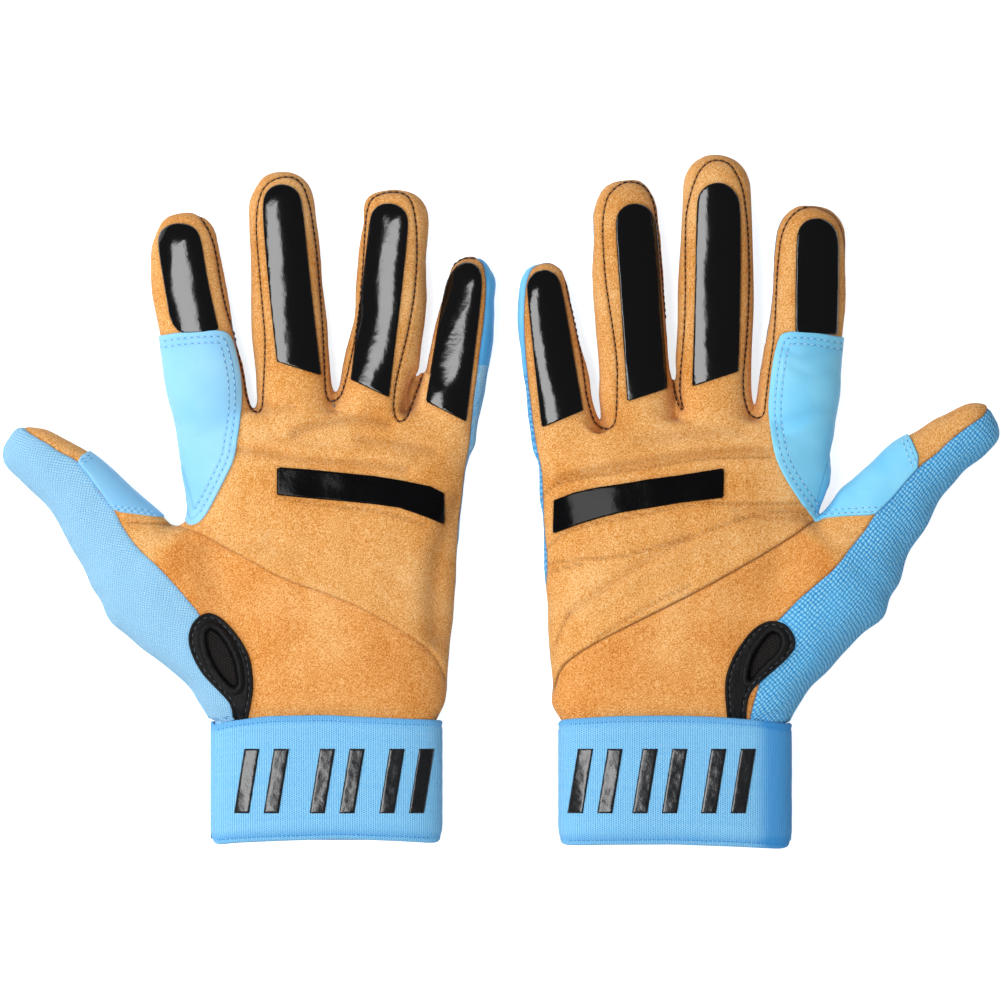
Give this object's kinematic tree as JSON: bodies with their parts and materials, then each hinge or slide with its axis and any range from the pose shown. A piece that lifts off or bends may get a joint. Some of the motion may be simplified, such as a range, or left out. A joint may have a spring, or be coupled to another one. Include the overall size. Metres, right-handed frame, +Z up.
{
  "type": "batting glove",
  "caption": "Left and right batting gloves with suede palms, raised grip strips, leather patches, mesh backs, bending fingers and a wide elastic wrist strap that peels open.",
  "frame": {"origin": "centre of the pair on the surface that it lies on", "axes": "+X from the left glove to the right glove, +Y from the straps to the fingertips, +Z up, out of the palms"},
  "size_m": [0.3436, 0.2382, 0.0292],
  "materials": {
    "palm_suede": "napped tan suede",
    "smooth_leather": "smooth light blue synthetic leather",
    "knit_mesh": "light blue knit mesh",
    "elastic_blue": "ribbed light blue elastic",
    "grip_black": "glossy black raised grip",
    "black_binding": "matt black binding tape and thread",
    "dark_mesh": "black mesh",
    "hook_and_loop": "hook and loop tape"
  },
  "bodies": {
    "left_glove": {"left_palm_panel": "palm_suede", "left_heel_panel": "palm_suede", "left_back_panel": "knit_mesh", "left_palm_grip_bar": "grip_black", "left_index_patch_palm": "smooth_leather", "left_keyhole_binding": "black_binding", "left_keyhole_gusset": "dark_mesh", "left_wrist_strap": "elastic_blue", "left_loop_pad": "hook_and_loop"},
    "left_index_finger": {"left_index_front": "palm_suede", "left_index_back": "knit_mesh", "left_index_grip": "grip_black", "left_index_patch": "smooth_leather"},
    "left_middle_finger": {"left_middle_front": "palm_suede", "left_middle_back": "knit_mesh", "left_middle_grip": "grip_black"},
    "left_ring_finger": {"left_ring_front": "palm_suede", "left_ring_back": "knit_mesh", "left_ring_grip": "grip_black"},
    "left_little_finger": {"left_little_front": "palm_suede", "left_little_back": "knit_mesh", "left_little_grip": "grip_black"},
    "left_thumb": {"left_thumb_front": "palm_suede", "left_thumb_back": "knit_mesh", "left_thumb_patch": "smooth_leather"},
    "left_tab": {"left_closure_tab": "elastic_blue", "left_hook_pad": "hook_and_loop"},
    "right_glove": {"right_palm_panel": "palm_suede", "right_heel_panel": "palm_suede", "right_back_panel": "knit_mesh", "right_palm_grip_bar": "grip_black", "right_index_patch_palm": "smooth_leather", "right_keyhole_binding": "black_binding", "right_keyhole_gusset": "dark_mesh", "right_wrist_strap": "elastic_blue", "right_loop_pad": "hook_and_loop"},
    "right_index_finger": {"right_index_front": "palm_suede", "right_index_back": "knit_mesh", "right_index_grip": "grip_black", "right_index_patch": "smooth_leather"},
    "right_middle_finger": {"right_middle_front": "palm_suede", "right_middle_back": "knit_mesh", "right_middle_grip": "grip_black"},
    "right_ring_finger": {"right_ring_front": "palm_suede", "right_ring_back": "knit_mesh", "right_ring_grip": "grip_black"},
    "right_little_finger": {"right_little_front": "palm_suede", "right_little_back": "knit_mesh", "right_little_grip": "grip_black"},
    "right_thumb": {"right_thumb_front": "palm_suede", "right_thumb_back": "knit_mesh", "right_thumb_patch": "smooth_leather"},
    "right_tab": {"right_closure_tab": "elastic_blue", "right_hook_pad": "hook_and_loop"}
  },
  "joints": [
    {"name": "left_index_bend", "type": "hinge", "parent": "left_glove", "child": "left_index_finger", "pos_m": [-0.10109, 0.0385, 0.011], "axis": [0.9882, 0.153, 0], "range_deg": [0, 60]},
    {"name": "left_middle_bend", "type": "hinge", "parent": "left_glove", "child": "left_middle_finger", "pos_m": [-0.07104, 0.03961, 0.011], "axis": [0.9976, 0.0698, 0], "range_deg": [0, 60]},
    {"name": "left_ring_bend", "type": "hinge", "parent": "left_glove", "child": "left_ring_finger", "pos_m": [-0.04286, 0.03897, 0.011], "axis": [0.9919, -0.1271, 0], "range_deg": [0, 60]},
    {"name": "left_little_bend", "type": "hinge", "parent": "left_glove", "child": "left_little_finger", "pos_m": [-0.01735, 0.03454, 0.0108], "axis": [0.9823, -0.1874, 0], "range_deg": [0, 60]},
    {"name": "left_thumb_bend", "type": "hinge", "parent": "left_glove", "child": "left_thumb", "pos_m": [-0.12957, -0.0174, 0.013], "axis": [0.7071, 0.7071, 0], "range_deg": [0, 50]},
    {"name": "left_tab_peel", "type": "hinge", "parent": "left_glove", "child": "left_tab", "pos_m": [-0.09947, -0.09693, 0.014], "axis": [0, 1, 0], "range_deg": [0, 120]},
    {"name": "right_index_bend", "type": "hinge", "parent": "right_glove", "child": "right_index_finger", "pos_m": [0.10215, 0.03679, 0.011], "axis": [0.9962, -0.0872, 0], "range_deg": [0, 60]},
    {"name": "right_middle_bend", "type": "hinge", "parent": "right_glove", "child": "right_middle_finger", "pos_m": [0.07412, 0.03893, 0.011], "axis": [1, -0.007, 0], "range_deg": [0, 60]},
    {"name": "right_ring_bend", "type": "hinge", "parent": "right_glove", "child": "right_ring_finger", "pos_m": [0.04727, 0.0368, 0.011], "axis": [0.9977, 0.068, 0], "range_deg": [0, 60]},
    {"name": "right_little_bend", "type": "hinge", "parent": "right_glove", "child": "right_little_finger", "pos_m": [0.02129, 0.03177, 0.0108], "axis": [0.9903, 0.1392, 0], "range_deg": [0, 60]},
    {"name": "right_thumb_bend", "type": "hinge", "parent": "right_glove", "child": "right_thumb", "pos_m": [0.12514, -0.01596, 0.013], "axis": [0.7361, -0.6769, 0], "range_deg": [0, 50]},
    {"name": "right_tab_peel", "type": "hinge", "parent": "right_glove", "child": "right_tab", "pos_m": [0.09913, -0.09763, 0.014], "axis": [0, -1, 0], "range_deg": [0, 120]},
    {"name": "right_glove_lift", "type": "slide", "parent": "left_glove", "child": "right_glove", "axis": [0, 0, 1], "range_m": [0, 0.1]}
  ]
}
